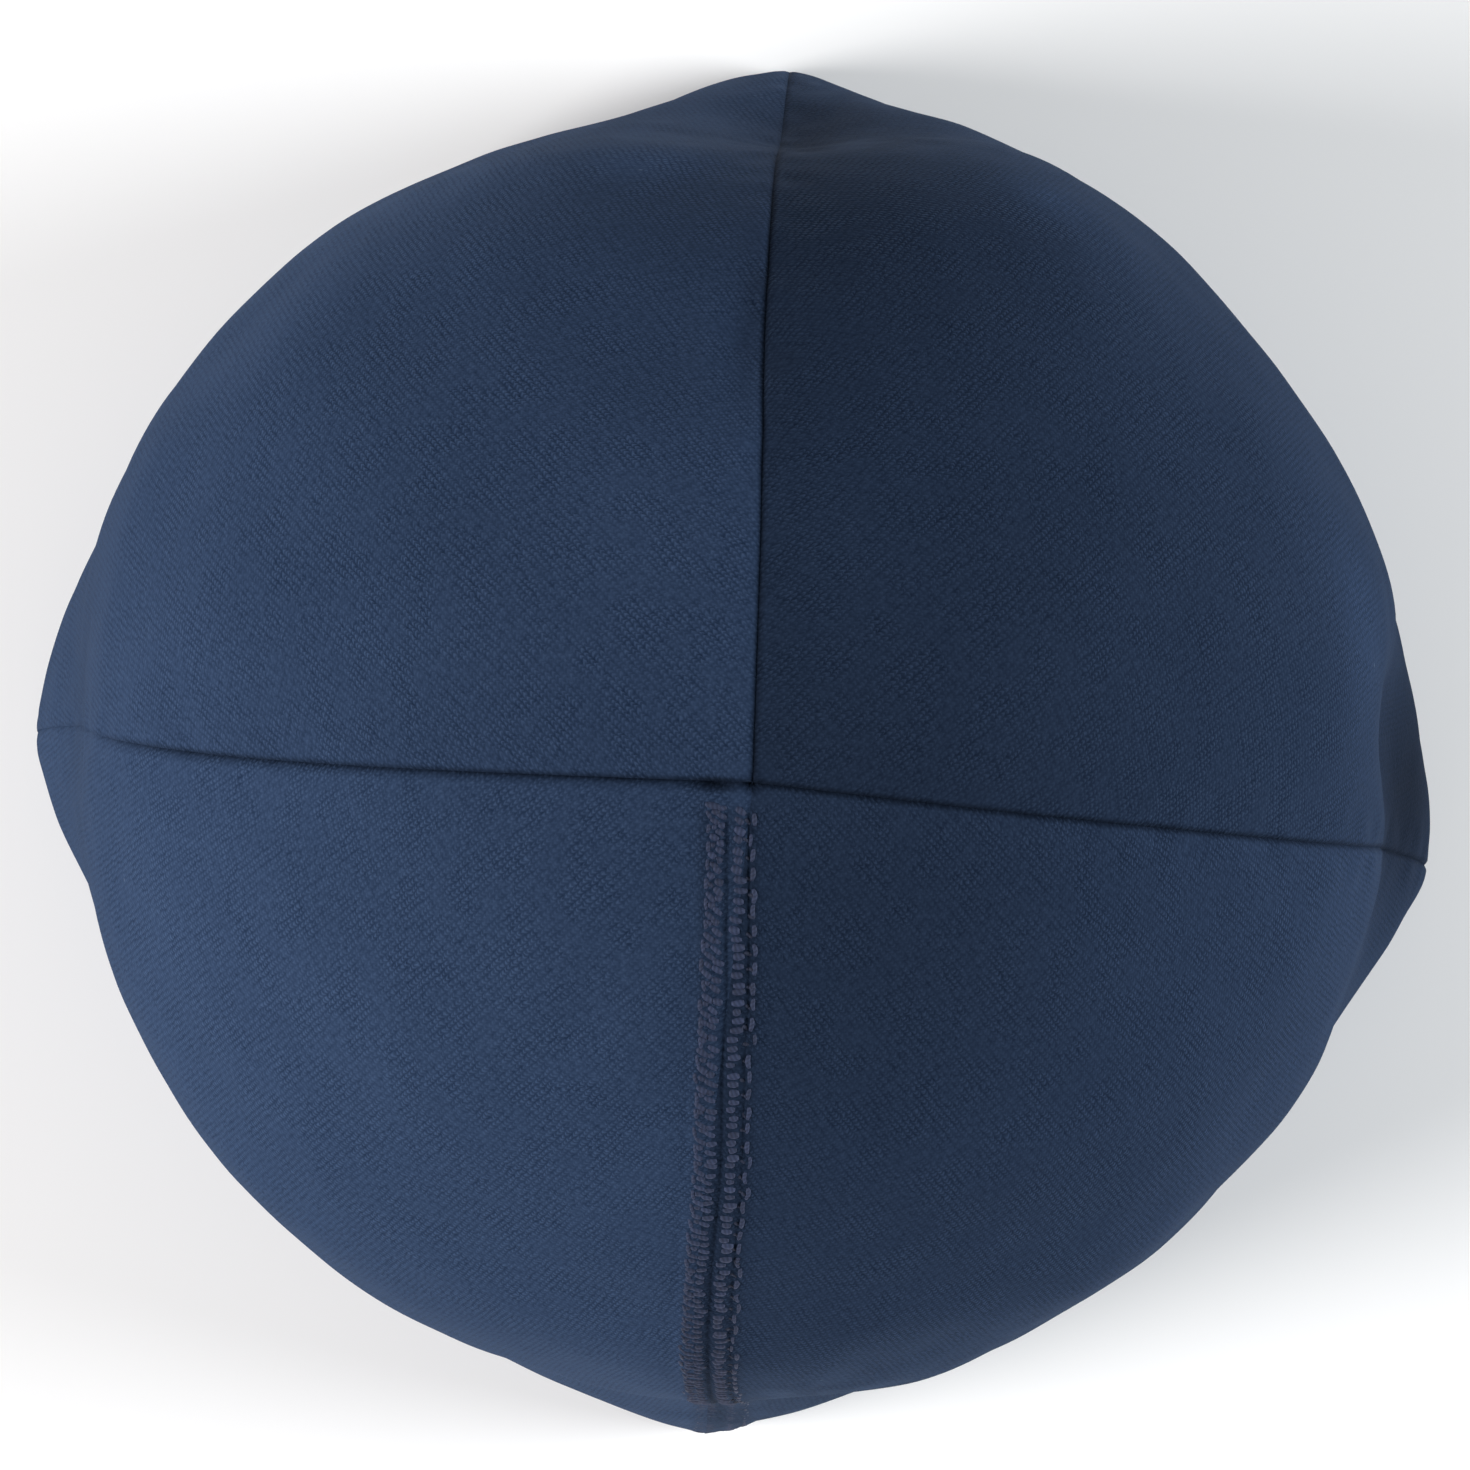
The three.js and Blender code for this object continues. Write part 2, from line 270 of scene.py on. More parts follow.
def smooth_step(value, low, high):
    """0 up to low and 1 from high, with a smooth rise between them."""
    t = np.clip((value - low) / (high - low), 0, 1)
    return t * t * (3 - 2 * t)


def groove_share(seam, up):
    """How much of a seam's groove is there at a share of the way up."""
    at_rim = GROOVES[seam]["at_rim"]
    return at_rim + (1 - at_rim) * smooth_step(up, *GROOVE_DEEPENS)


def groove_depth(seam, side, distance, up):
    """How far the cloth has turned down into a seam, this far from it."""
    wide, deep = GROOVES[seam][side]
    return deep * groove_share(seam, up) * np.clip(1 - distance / wide, 0, 1) ** 1.5


def bell(*offsets):
    """A smooth hump, 1 where all the offsets are 0 and gone where one of them passes 2."""
    return np.exp(-sum(offset**2 for offset in offsets))


def slope_bell(radius, angle, up, place_angle, place_up, wide, long):
    """A bell on the crown's slope round a place on it, with its half-widths across and along the slope."""
    turned = (angle - place_angle + 180) % 360 - 180
    lengthways = np.interp(up, LEVELS, LENGTHS) - np.interp(place_up, LEVELS, LENGTHS)
    return bell(np.radians(turned) * radius / wide, lengthways / long)


def waves(points, seed, count, length):
    """A soft field of count waves over points, its humps about length apart. It is mostly from -1 to 1."""
    draw = np.random.default_rng(seed)
    ways = draw.normal(size=(count, 3))
    ways *= (2 * math.pi / length / np.linalg.norm(ways, axis=1) * draw.uniform(0.6, 1.4, count))[:, None]
    phases = draw.uniform(0, 2 * math.pi, count)
    total = np.zeros(points.shape[:-1])
    for way, phase in zip(ways, phases):
        total += np.cos(points @ way + phase)
    return total * math.sqrt(2 / count)


def slope_length():
    """The length of cloth from the rim up to each of many levels, along the middle of a panel."""
    up = np.linspace(0, 1, 801)
    radius, _ = crown_radius("panel_front_right", np.full_like(up, 0.5), up)
    steps = np.hypot(np.diff(radius), np.diff(height_at(up)))
    return up, np.concatenate([[0], np.cumsum(steps)])


LEVELS, LENGTHS = slope_length()
LEVEL_STEP = 0.002  # a short step of the share of the way up, over which slopes are measured
AXIS = np.zeros(2)  # where the crown's axis stands in the frame, worked out below


def cloth_point(panel, across, up, lift, aside=0.0):
    """Points of the frame, in millimetres, lifted square off the smooth crown and moved round it by aside."""
    radius, angle = crown_radius(panel, across, up)
    low, high = np.maximum(up - LEVEL_STEP, 0), np.minimum(up + LEVEL_STEP, 1)
    rise = height_at(high) - height_at(low)
    inward = crown_radius(panel, across, low)[0] - crown_radius(panel, across, high)[0]
    slope = np.hypot(rise, inward)
    turn = np.radians(angle)
    out = radius + lift * rise / slope
    height = height_at(up)
    lean = (height / CROWN_HEIGHT) ** 2
    x = AXIS[0] + CROWN_POINT[0] * lean + out * np.cos(turn) - aside * np.sin(turn)
    y = AXIS[1] + CROWN_POINT[1] * lean + out * np.sin(turn) + aside * np.cos(turn)
    return np.stack([x, y, height + lift * inward / slope], -1)


def outline_middle():
    """The middle of the smooth crown's outline, from its axis."""
    across, up = np.meshgrid(np.linspace(0, 1, 91), np.linspace(0, 0.4, 21))
    points = np.concatenate([cloth_point(panel, across, up, 0.0).reshape(-1, 3) for panel in PANELS])
    return (points.min(0) + points.max(0))[:2] / 2


AXIS = -outline_middle()  # the hat stands over the middle of its own outline, as in the CAD


def band_middle(radius):
    """How far to the right of the back seam the band's middle lies, at a radius from the crown point."""
    sway = BAND_SWAY * smooth_step(radius, BAND_BENDS_AT, BAND_SWAYED_AT)
    return sway - BAND_SHIFT * np.clip(1 - radius / BAND_BENDS_AT, 0, 1)


def band_place(angle, radius, up):
    """How far to the right of the flatlock band's middle a place lies, and how much of the band is there."""
    aside = np.radians((angle - seam_angle("back", up) + 180) % 360 - 180)
    down = radius * np.cos(aside)
    off_middle = radius * np.sin(aside) - band_middle(down)
    here = 1 - smooth_step(np.abs(off_middle), BAND_HALF - BAND_EDGE, BAND_HALF + BAND_EDGE)
    return off_middle, here * smooth_step(down, *BAND_COMES_UP)


def seam_distances(panel, across, up):
    """How far a place lies from the panel's first seam and from its second one, round the crown."""
    radius, angle = crown_radius(panel, across, up)
    start, end = panel_edges(panel, up)
    return np.radians(angle - start) * radius, np.radians(end - angle) * radius


def relief(panel, across, up):
    """How far the cloth's face stands off the smooth crown: seam grooves, folds, puckers and slack."""
    radius, angle = crown_radius(panel, across, up)
    from_start, to_end = seam_distances(panel, across, up)
    first, second = PANELS[panel]["seams"]
    first_groove = groove_depth(first, "after", from_start, up)
    off = -np.maximum(first_groove, groove_depth(second, "before", to_end, up))
    for dent_angle, dent_up, wide, long, depth in DENTS:
        off -= depth * slope_bell(radius, angle, up, dent_angle, dent_up, wide, long)
    turn = np.radians(angle)
    east, north = radius * np.cos(turn), radius * np.sin(turn)
    for x, y, wide, long, stands in CROSSING_FORMS:
        off += stands * bell((east - x) / wide, (north - y) / long) * (up > CROSSING_ABOVE)
    if "back" in (first, second):
        off_middle, here = band_place(angle, radius, up)
        grooves = sum(deep * bell((off_middle - at) / wide) for at, wide, deep in BAND_GROOVES)
        flattened = BAND_FLAT_SHARE + (1 - BAND_FLAT_SHARE) * smooth_step(up, *BAND_FLATTENS)
        off += here * (BAND_RISE - grooves) * flattened
    place = cloth_point(panel, across, up, 0.0)
    # The flatlocked back seam draws up no puckers.
    from_first = np.inf if first == "back" else from_start
    from_second = np.inf if second == "back" else to_end
    off += PUCKER_HEIGHT * waves(place, *PUCKERS) * bell(np.minimum(from_first, from_second) / PUCKER_REACH)
    nearest = np.minimum(from_start, to_end)
    off += SLACK_HEIGHT * waves(place, *SLACK) * np.clip(nearest / SLACK_FULL_AT, 0, 1)
    off += RIPPLE_HEIGHT * waves(place, *RIPPLES) * np.clip(nearest / RIPPLES_FULL_AT, 0, 1)
    return off


def cloth_shade(panel, across, up):
    """How light the cloth is painted at a place: painted shade by panel, at the seams, in the flatlock band,
    at the crossing and round the crown point, and painted patches of light and shade.
    """
    radius, angle = crown_radius(panel, across, up)
    from_start, to_end = seam_distances(panel, across, up)
    first, second = PANELS[panel]["seams"]
    # Painted shade along the seams' grooves.
    seam_shading = np.zeros_like(radius)
    for seam, side, distance in ((first, "after", from_start), (second, "before", to_end)):
        if GROOVES[seam][side][1]:
            seam_shading = np.maximum(seam_shading, groove_share(seam, up) * bell(distance / SEAM_PAINTED_SHADE_REACH))
    # Painted shade round the crown point.
    crown_shading = bell(radius / CROWN_PAINTED_SHADE_REACH) * (up > 0.5)
    # The panel's painted shade, darkened further by the painted shade at the seams and round the crown point.
    shade = PANEL_PAINTED_SHADE[panel] * (1 - SEAM_PAINTED_SHADE * seam_shading) * (1 - CROWN_PAINTED_SHADE * crown_shading)
    # Painted shade in the flatlock band, between its stitches.
    if "back" in (first, second):
        off_middle, here = band_place(angle, radius, up)
        shade = shade * (1 - BAND_PAINTED_SHADE * here)
    turn = np.radians(angle)
    east, north = radius * np.cos(turn), radius * np.sin(turn)
    # Painted shade in the sunken forms where the seams cross.
    for x, y, wide, long, stands in CROSSING_FORMS:
        if stands < 0:
            pit_shading = bell((east - x) / wide, (north - y) / long) * (up > CROSSING_ABOVE)
            shade = shade * (1 - SEAM_PAINTED_SHADE * pit_shading)
    # Patches of painted light and shade.
    for patch_angle, patch_up, wide, long, darker in PAINTED_LIGHT_AND_SHADE:
        shade = shade * (1 - darker * slope_bell(radius, angle, up, patch_angle, patch_up, wide, long))
    return shade


def over_back_seam(right, up):
    """Points on the face over the back seam, this far right of it, at these shares of the way up, and the
    way that the face looks there."""
    right, up = np.broadcast_arrays(np.asarray(right, float), np.asarray(up, float))
    points = np.zeros(right.shape + (3,))
    normals = np.zeros_like(points)
    for panel, side, edge in (("panel_back_left", right < 0, 1.0), ("panel_back_right", right >= 0, 0.0)):
        t, level = np.abs(right[side]), up[side]
        radius, _ = crown_radius(panel, np.full_like(t, edge), level)
        higher, _ = crown_radius(panel, np.full_like(t, edge), np.minimum(level + LEVEL_STEP, 1))
        # Beside the crown point, a step to the side is also a step away from it, down the slope.
        down_slope = (np.hypot(t, radius) - radius) * LEVEL_STEP / np.maximum(radius - higher, 1e-6)
        level = level - np.where(level > 0.5, down_slope, 0)
        start, end = panel_edges(panel, level)
        share = np.degrees(np.arctan2(t, radius)) / (end - start)
        across = np.abs(edge - share)
        off = relief(panel, across, level)
        points[side] = cloth_point(panel, across, level, off)
        normals[side] = cloth_point(panel, across, level, off + 1.0) - points[side]
    return points, normals


# ---------------------------------------------------------------- meshes

ACROSS_STEPS = 140
UP_STEPS = 280
ROLL_STEPS = 8
LINING_GROOVE = 0.6  # the lining side's seam grooves, their depth and their half-width
LINING_SHARE = 0.3  # how much of the face's narrow grooves and puckers the lining side follows
PRESSED_WALL = 1.2  # the wall under a deep dent, where the lining side follows the face down
WELD_WITHIN = 1e-6  # in metres, as is the next
SHORTEST_EDGE = 1e-8


def new_object(name, vertices, faces, uvs=None, shades=None):
    """A mesh object from points in millimetres, with a UV map in millimetres, and a shade for each point."""
    mesh = bpy.data.meshes.new(name)
    mesh.from_pydata((np.asarray(vertices) * MM).tolist(), [], faces)
    if shades is not None:
        shade = mesh.attributes.new("shade", "FLOAT", "POINT")
        shade.data.foreach_set("value", np.asarray(shades, np.float32))
    if uvs is not None:
        layer = mesh.uv_layers.new(name="cloth")
        corners = np.zeros(len(mesh.loops), int)
        mesh.loops.foreach_get("vertex_index", corners)
        layer.uv.foreach_set("vector", np.asarray(uvs, np.float32)[corners].ravel())
    mesh.shade_smooth()
    obj = bpy.data.objects.new(name, mesh)
    bpy.context.scene.collection.objects.link(obj)
    return obj


def grid_faces(rows, columns):
    """The quads of a grid of points stored row by row."""
    faces = []
    for j in range(rows - 1):
        for i in range(columns - 1):
            a = j * columns + i
            faces.append((a, a + 1, a + columns + 1, a + columns))
    return faces


def weld(obj):
    """Joins points that lie together, as at a panel's tip, and turns the faces outwards."""
    work = bmesh.new()
    work.from_mesh(obj.data)
    bmesh.ops.remove_doubles(work, verts=work.verts, dist=WELD_WITHIN)
    bmesh.ops.dissolve_degenerate(work, edges=work.edges, dist=SHORTEST_EDGE)
    bmesh.ops.recalc_face_normals(work, faces=work.faces)
    work.to_mesh(obj.data)
    work.free()


def panel_wall(panel):
    """A panel as one wall of cloth: its face, turned under at the rim, and its lining side. Where the panels
    meet at the crown point, its tip is left open between the two, by less than a millimetre."""
    columns = ACROSS_STEPS + 1
    # The columns stand closer together near the seams, where the grooves are.
    across = 0.5 - 0.5 * np.cos(np.pi * np.arange(columns) / ACROSS_STEPS)
    fold = WALL / 2
    first_up = np.interp(fold, height_at(LEVELS), LEVELS)
    up = first_up + (1 - first_up) * np.linspace(0, 1, UP_STEPS + 1)
    grid_across, grid_up = np.meshgrid(across, up)
    off = relief(panel, grid_across, grid_up)
    from_start, to_end = seam_distances(panel, grid_across, grid_up)
    face = cloth_point(panel, grid_across, grid_up, off)
    inner_groove = LINING_GROOVE * bell(np.minimum(from_start, to_end) / LINING_GROOVE)
    lining_off = np.minimum(LINING_SHARE * np.minimum(off, 0) - WALL, off - PRESSED_WALL)
    lining = cloth_point(panel, grid_across, grid_up, lining_off + inner_groove)
    # The turned rim: half a round from the face, under, down to the floor, and up into the lining side.
    middle = (face[0] + lining[0]) / 2
    outward = (face[0] - lining[0]) / 2
    down = np.zeros_like(outward)
    down[:, 2] = -middle[:, 2]
    turns = np.linspace(0, np.pi, ROLL_STEPS + 1)[1:-1]
    rim = [middle + outward * math.cos(t) + down * math.sin(t) for t in turns]
    rows = np.concatenate([lining[::-1], np.array(rim)[::-1], face])
    along = np.interp(grid_up, LEVELS, LENGTHS)
    sideways = (from_start - to_end) / 2
    face_uv = np.stack([sideways, along], -1)
    rim_uv = [np.stack([sideways[0], along[0] - fold * t], -1) for t in turns]
    lining_uv = np.stack([sideways, -along - 2 * fold], -1)
    uvs = np.concatenate([lining_uv[::-1], np.array(rim_uv)[::-1], face_uv])
    shade = cloth_shade(panel, grid_across, grid_up)
    # The lining side gets its panel's painted shade too.
    lining_shade = np.full_like(shade, PANEL_PAINTED_SHADE[panel])
    shades = np.concatenate([lining_shade, np.repeat(shade[:1], len(turns), axis=0), shade])
    count = len(rows)
    faces = grid_faces(count, columns)
    # The two sewn edges, each a strip between the face and the lining side, with a half round at the rim.
    for column in (0, ACROSS_STEPS):
        for j in range(UP_STEPS):
            inner, outer = UP_STEPS - j, UP_STEPS + len(turns) + 1 + j
            faces.append([r * columns + column for r in (inner, outer, outer + 1, inner - 1)])
        round_end = range(UP_STEPS, UP_STEPS + len(turns) + 2)
        faces.append([r * columns + column for r in round_end])
    name = panel.replace("panel_", "") + "_jersey"
    obj = new_object(name, rows.reshape(-1, 3), faces, uvs.reshape(-1, 2), shades.ravel())
    weld(obj)
    return obj


THREAD_SIDES = 6
OFF_THE_THREADS = (0.31, 0.22, 0.93)  # a direction that no thread takes, from which its sides are found


def thread_tubes(name, lines):
    """Threads as one mesh. Each line is its points, the radius at each of them, and how light it is."""
    vertices, faces, uvs, shades = [], [], [], []
    for points, radii, light in lines:
        points = np.asarray(points)
        ahead = np.gradient(points, axis=0)
        ahead /= np.linalg.norm(ahead, axis=1)[:, None]
        side = np.cross(ahead, OFF_THE_THREADS)
        side /= np.linalg.norm(side, axis=1)[:, None]
        over = np.cross(side, ahead)
        first = len(vertices)
        along = np.concatenate([[0], np.cumsum(np.linalg.norm(np.diff(points, axis=0), axis=1))])
        for k in range(THREAD_SIDES):
            turn = 2 * math.pi * k / THREAD_SIDES
            ring = points + radii[:, None] * (side * math.cos(turn) + over * math.sin(turn))
            vertices.extend(ring.tolist())
            uvs.extend(np.stack([np.full(len(points), k / THREAD_SIDES), along], -1).tolist())
        count = len(points)
        shades.extend([light] * (THREAD_SIDES * count))
        for k in range(THREAD_SIDES):
            a, b = first + k * count, first + (k + 1) % THREAD_SIDES * count
            faces.extend((a + j, a + j + 1, b + j + 1, b + j) for j in range(count - 1))
        faces.append([first + k * count for k in range(THREAD_SIDES)])
        faces.append([first + k * count + count - 1 for k in reversed(range(THREAD_SIDES))])
    return new_object(name, vertices, faces, uvs, shades)


def seam_levels():
    """How far down the back seam each pitch of stitches starts, and the share of the way up at a distance."""
    up = np.linspace(1, 0, 2001)
    radius, _ = crown_radius("panel_back_right", np.zeros_like(up), up)
    steps = np.hypot(np.diff(radius), np.diff(height_at(up)))
    down = np.concatenate([[0], np.cumsum(steps)])
    starts = np.arange(FIRST_STITCH, down[-1] - STITCHES_END, STITCH_PITCH)

    def level(distance):
        return np.interp(distance, down, up)

    return starts, level


def flatlock_threads():
    """The cover stitches of the flatlock, half sunk in the cloth, each a little different from the next."""
    starts, level = seam_levels()
    draw = np.random.default_rng(STITCH_SEED)
    lines = []

    def over_band(off_middle, distance, lift):
        up = level(distance)
        radius, _ = crown_radius("panel_back_right", np.zeros_like(up), up)
        points, normals = over_back_seam(band_middle(radius) + off_middle, up)
        return points + normals * np.asarray(lift)[..., None]

    share = np.linspace(0, 1, THREAD_POINTS)
    swell = np.sin(np.pi * (0.06 + 0.88 * share)) ** 0.35  # a thread thins out at both ends
    for start in starts[:-PITCHES_LEFT_OUT]:
        # Painted shade on the threads towards the rim.
        lit = RIM_THREAD_PAINTED_SHADE + (1 - RIM_THREAD_PAINTED_SHADE) * smooth_step(level(start), *LIGHTENS)
        for (left, first), (right, last), thick, light in STITCHES:
            stray = draw.normal(0, THREAD_STRAYS, 5)
            sideways = left + stray[0] + (right - left + stray[1]) * share
            sideways += stray[4] * np.sin(np.pi * share)
            distance = start + first + stray[2] + (last - first + stray[3]) * share
            radii = thick * draw.uniform(*THREAD_RADII) * swell
            lift = -radii * draw.uniform(*THREAD_SUNK)
            lift -= radii * SUNK_AT_RIM * (1 - smooth_step(level(distance), *SINKS))
            tone = light * lit * draw.uniform(*THREAD_LIGHTS)
            lines.append((over_band(sideways, distance, lift), radii, tone))
    return thread_tubes("flatlock_threads", lines)


# ---------------------------------------------------------------- materials


class Nodes:
    """Short names for making and joining a material's nodes."""

    def __init__(self, name):
        self.material = bpy.data.materials.new(name)
        self.material.use_nodes = True
        self.tree = self.material.node_tree
        self.shader = self.tree.nodes["Principled BSDF"]

    def add(self, kind, inputs=None, **settings):
        node = self.tree.nodes.new(kind)
        for key, value in settings.items():
            setattr(node, key, value)
        for key, value in (inputs or {}).items():
            self.put(node.inputs[key], value)
        return node

    def put(self, socket, value):
        if isinstance(value, bpy.types.NodeSocket):
            self.tree.links.new(value, socket)
        else:
            socket.default_value = value

    def math(self, operation, *values):
        node = self.add("ShaderNodeMath", operation=operation)
        for socket, value in zip(node.inputs, values):
            self.put(socket, value)
        return node.outputs[0]

    def ramp(self, value, low, high, to_low=0.0, to_high=1.0):
        node = self.add("ShaderNodeMapRange", {0: value, 1: low, 2: high, 3: to_low, 4: to_high})
        return node.outputs[0]

    def mix(self, share, first, second):
        node = self.add("ShaderNodeMix", data_type="RGBA")
        self.put(node.inputs["Factor"], share)
        self.put(node.inputs["A"], first)
        self.put(node.inputs["B"], second)
        return node.outputs["Result"]

    def shaded(self, colour):
        """A colour made lighter or darker by the mesh's shade attribute: its painted light and shade, and on
        the threads their tone as well.
        """
        shade = self.add("ShaderNodeAttribute", attribute_name="shade").outputs["Fac"]
        return self.add("ShaderNodeVectorMath", {0: colour, "Scale": shade}, operation="SCALE").outputs[0]

    def noise(self, vector, scale, detail=2.0):
        inputs = {"Vector": vector, "Scale": scale, "Detail": detail}
        return self.add("ShaderNodeTexNoise", inputs).outputs["Fac"]


WALE = 0.79  # the knit's columns of stitches, apart
COURSE = 0.62  # its rows of stitches, apart
KNIT_BED = 0.36  # the height that is left where the stitches are slack
KNIT_RELIEF = 0.16  # how high the knit stands, as bump
LINT_SPACING = 13.0
LINT_SIZE = 0.34
PLY_RELIEF = 0.05  # how high a thread's plies stand, as bump

JERSEY_SHADED_HOLLOWS = (0.0102, 0.0212, 0.049, 1)  # painted shade between its stitches, and the dark end of its random tone
JERSEY_LIT_TOPS = (0.0415, 0.070, 0.136, 1)  # painted light on top of them, and the light end of its random tone
LINT = (0.2, 0.25, 0.33, 1)
THREAD_SHADED_HOLLOWS = (0.013, 0.021, 0.050, 1)  # painted shade between its plies
THREAD_LIT_PLIES = (0.030, 0.043, 0.092, 1)


def knit_height(n, uv):
    """The height of jersey's face from 0 to 1: columns of slanted stitches, looser in some places."""
    split = n.add("ShaderNodeSeparateXYZ", {0: uv})
    wander = n.math("MULTIPLY", n.math("SUBTRACT", n.noise(uv, 0.7, 4.0), 0.5), 1.0)
    sideways = n.math("DIVIDE", n.math("ADD", split.outputs[0], wander), WALE)
    upward = n.math("DIVIDE", n.math("ADD", split.outputs[1], wander), COURSE)
    in_wale = n.math("PINGPONG", sideways, 0.5)  # 0 at a wale's edge, 0.5 at its middle
    slanted = n.math("ADD", upward, in_wale)
    stitch = n.ramp(n.math("SINE", n.math("MULTIPLY", slanted, 2 * math.pi)), -1.0, 1.0, 0.15, 1.0)
    wale = n.math("SINE", n.math("MULTIPLY", in_wale, math.pi))
    tight = n.ramp(n.noise(uv, 0.18, 3.0), 0.38, 0.62, 0.4, 1.0)
    stands = n.math("SUBTRACT", n.math("MULTIPLY", stitch, wale), KNIT_BED)
    return n.math("ADD", n.math("MULTIPLY", stands, tight), KNIT_BED)


def specks(n, uv, spacing, size):
    """Small round spots, one to a cell of the given spacing, where a cell has one at all."""
    cells = n.add("ShaderNodeTexVoronoi", {"Vector": uv, "Scale": 1 / spacing})
    far = n.math("MULTIPLY", cells.outputs["Distance"], spacing)
    split = n.add("ShaderNodeSeparateColor", {0: cells.outputs["Color"]})
    chosen = n.math("GREATER_THAN", split.outputs[0], 0.55)
    return n.math("MULTIPLY", n.ramp(far, size * 0.4, size, 1.0, 0.0), chosen)


def jersey_material():
    n = Nodes("navy_jersey")
    uv = n.add("ShaderNodeUVMap", uv_map="cloth").outputs[0]
    place = n.add("ShaderNodeTexCoord").outputs["Object"]
    knit = knit_height(n, uv)
    fuzz = n.noise(uv, 1.1, 4.0)
    mottle = n.noise(place, 60.0, 2.0)
    # The knit's height paints shade in its hollows and light on its tops; the fuzz and the mottle vary the
    # tone at random.
    tone = n.math("ADD", n.math("MULTIPLY", knit, 0.5), n.math("MULTIPLY", fuzz, 0.6))
    tone = n.math("ADD", tone, n.math("MULTIPLY", n.math("SUBTRACT", mottle, 0.5), 0.12))
    colour = n.shaded(n.mix(n.ramp(tone, 0.2, 0.85), JERSEY_SHADED_HOLLOWS, JERSEY_LIT_TOPS))
    lint = specks(n, uv, LINT_SPACING, LINT_SIZE)
    colour = n.mix(n.math("MULTIPLY", lint, 0.25), colour, LINT)
    n.put(n.shader.inputs["Base Color"], colour)
    n.put(n.shader.inputs["Roughness"], n.ramp(fuzz, 0.3, 0.7, 0.82, 0.95))
    n.shader.inputs["Specular IOR Level"].default_value = 0.03
    n.shader.inputs["Sheen Weight"].default_value = 0.08
    n.shader.inputs["Sheen Roughness"].default_value = 0.35
    n.shader.inputs["Sheen Tint"].default_value = (0.3, 0.48, 0.85, 1)
    height = n.math("ADD", n.math("MULTIPLY", knit, 0.6), n.math("MULTIPLY", fuzz, 0.7))
    height = n.math("ADD", height, n.math("MULTIPLY", lint, 0.8))
    bump = n.add("ShaderNodeBump", {"Strength": 1.0, "Distance": KNIT_RELIEF * MM, "Height": height})
    n.put(n.shader.inputs["Normal"], bump.outputs[0])
    return n.material


def thread_material():
    n = Nodes("flatlock_thread")
    uv = n.add("ShaderNodeUVMap", uv_map="cloth").outputs[0]
    split = n.add("ShaderNodeSeparateXYZ", {0: uv})
    ply = n.math("ADD", n.math("MULTIPLY", split.outputs[1], 1.6), n.math("MULTIPLY", split.outputs[0], 2.0))
    strand = n.math("PINGPONG", ply, 0.5)
    # Painted shade between the plies and painted light on them.
    colour = n.mix(n.ramp(strand, 0.0, 0.5), THREAD_SHADED_HOLLOWS, THREAD_LIT_PLIES)
    n.put(n.shader.inputs["Base Color"], n.shaded(colour))
    n.shader.inputs["Roughness"].default_value = 0.75
    n.shader.inputs["Specular IOR Level"].default_value = 0.25
    n.shader.inputs["Sheen Weight"].default_value = 0.1
    n.shader.inputs["Sheen Tint"].default_value = (0.45, 0.5, 0.85, 1)
    bump = n.add("ShaderNodeBump", {"Strength": 0.6, "Distance": PLY_RELIEF * MM, "Height": strand})
    n.put(n.shader.inputs["Normal"], bump.outputs[0])
    return n.material


# ---------------------------------------------------------------- the hat

CUT_COLUMNS = 61


def panel_cut(panel):
    """The width, length and area, in metres, to which a panel is cut, measured over the smooth crown."""
    up = LEVELS[:, None]
    across = np.linspace(0, 1, CUT_COLUMNS)[None, :]
    rows = cloth_point(panel, *np.broadcast_arrays(across, up), 0.0) * MM
    widths = np.linalg.norm(np.diff(rows, axis=1), axis=2).sum(1)
    middle = np.linalg.norm(np.diff(rows[:, CUT_COLUMNS // 2], axis=0), axis=1)
    return widths.max(), middle.sum(), (middle * (widths[1:] + widths[:-1]) / 2).sum()


jersey = jersey_material()
for panel in PANELS:
    wall = panel_wall(panel)
    wall.data.materials.append(jersey)
    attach(wall, "root")
    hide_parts(panel)
    width, length, area = panel_cut(panel)
    print(f"{panel} is cut {width:.3f} by {length:.3f} m, {area:.4f} square metres")

threads = flatlock_threads()
threads.data.materials.append(thread_material())
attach(threads, "root")
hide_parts("closing_seam")

# ---------------------------------------------------------------- studio

FLOOR_HALF = 4000
FLOOR_WHITE = (0.92, 0.92, 0.92, 1)
WORLD_STRENGTH = 0.24

# In metres from here on.
LAMP_SIZE = 0.9
LAMP_AIM = (0, 0, 0.08)
# The lamps stand low on both sides: the place, the power in watts and the colour.
LAMPS = {
    "key": ((-1.4, -0.4, 0.95), 38, (1, 0.98, 0.97)),
    "fill": ((1.45, 0.15, 0.62), 32.5, (0.95, 0.98, 1)),
}

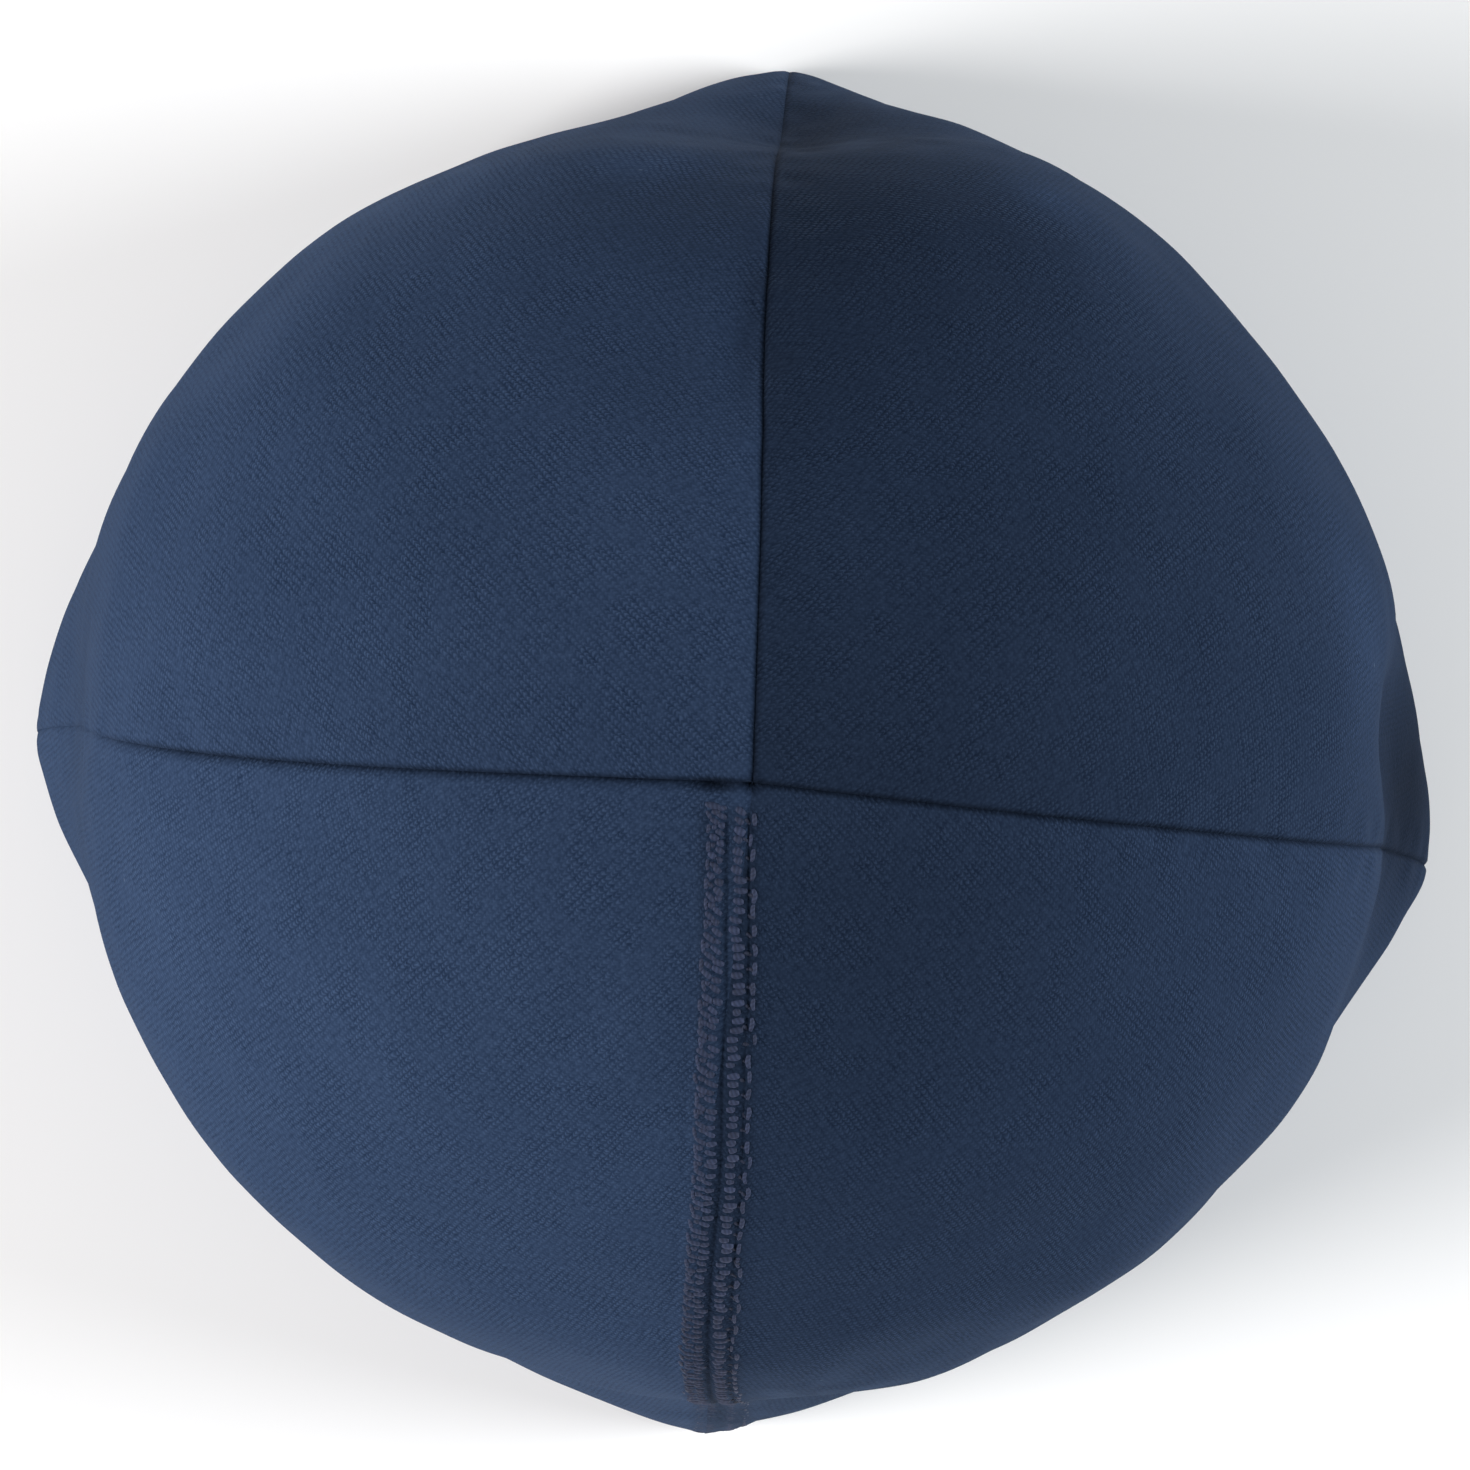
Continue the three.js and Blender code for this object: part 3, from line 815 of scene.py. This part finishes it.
VIEW_LEVEL = 62 * MM  # the height of the crown's widest ring
VIEW_DISTANCE = 1.7  # of the camera from it
VIEW_WIDTH = 0.1934  # how much the camera takes in at that height, from side to side
LEAN_LEFT, LEAN_FRONT = math.radians(0.9), math.radians(1.4)  # of the camera off the vertical
ROLL = math.radians(4.0)
AIM = (-0.0011, 0.0036)  # where the camera looks, from the frame's middle


def floor_material():
    n = Nodes("studio_floor")
    n.shader.inputs["Base Color"].default_value = FLOOR_WHITE
    n.shader.inputs["Roughness"].default_value = 0.9
    n.shader.inputs["Specular IOR Level"].default_value = 0.1
    return n.material


def add_floor():
    corners = [(FLOOR_HALF * x, FLOOR_HALF * y, 0) for x, y in ((-1, -1), (1, -1), (1, 1), (-1, 1))]
    floor = new_object("floor", corners, [(0, 1, 2, 3)])
    floor.data.materials.append(floor_material())


def add_lamp(name, place, power, colour):
    lamp = bpy.data.lights.new(name, "AREA")
    lamp.shape = "DISK"
    lamp.size = LAMP_SIZE
    lamp.energy = power
    lamp.color = colour
    obj = bpy.data.objects.new(name, lamp)
    obj.location = place
    obj.rotation_euler = (Vector(LAMP_AIM) - Vector(place)).to_track_quat("-Z", "Y").to_euler()
    bpy.context.scene.collection.objects.link(obj)


def add_world():
    world = bpy.data.worlds.new("studio")
    world.use_nodes = True
    background = world.node_tree.nodes["Background"]
    background.inputs["Color"].default_value = (1, 1, 1, 1)
    background.inputs["Strength"].default_value = WORLD_STRENGTH
    bpy.context.scene.world = world


def add_camera():
    back = Vector((-math.tan(LEAN_LEFT), math.tan(LEAN_FRONT), 1)).normalized()
    up = Vector((-math.sin(ROLL), math.cos(ROLL), 0))
    up = (up - up.dot(back) * back).normalized()
    turn = Matrix((up.cross(back), up, back)).transposed()
    data = bpy.data.cameras.new("camera")
    data.sensor_width = 36
    data.lens = data.sensor_width * VIEW_DISTANCE / VIEW_WIDTH
    data.clip_end = 20
    obj = bpy.data.objects.new("camera", data)
    target = Vector((AIM[0], AIM[1], VIEW_LEVEL))
    obj.matrix_world = Matrix.Translation(target + back * VIEW_DISTANCE) @ turn.to_4x4()
    bpy.context.scene.collection.objects.link(obj)
    bpy.context.scene.camera = obj


add_floor()
add_camera()
add_world()
for name, settings in LAMPS.items():
    add_lamp(name, *settings)
bpy.context.scene.view_settings.view_transform = "Standard"
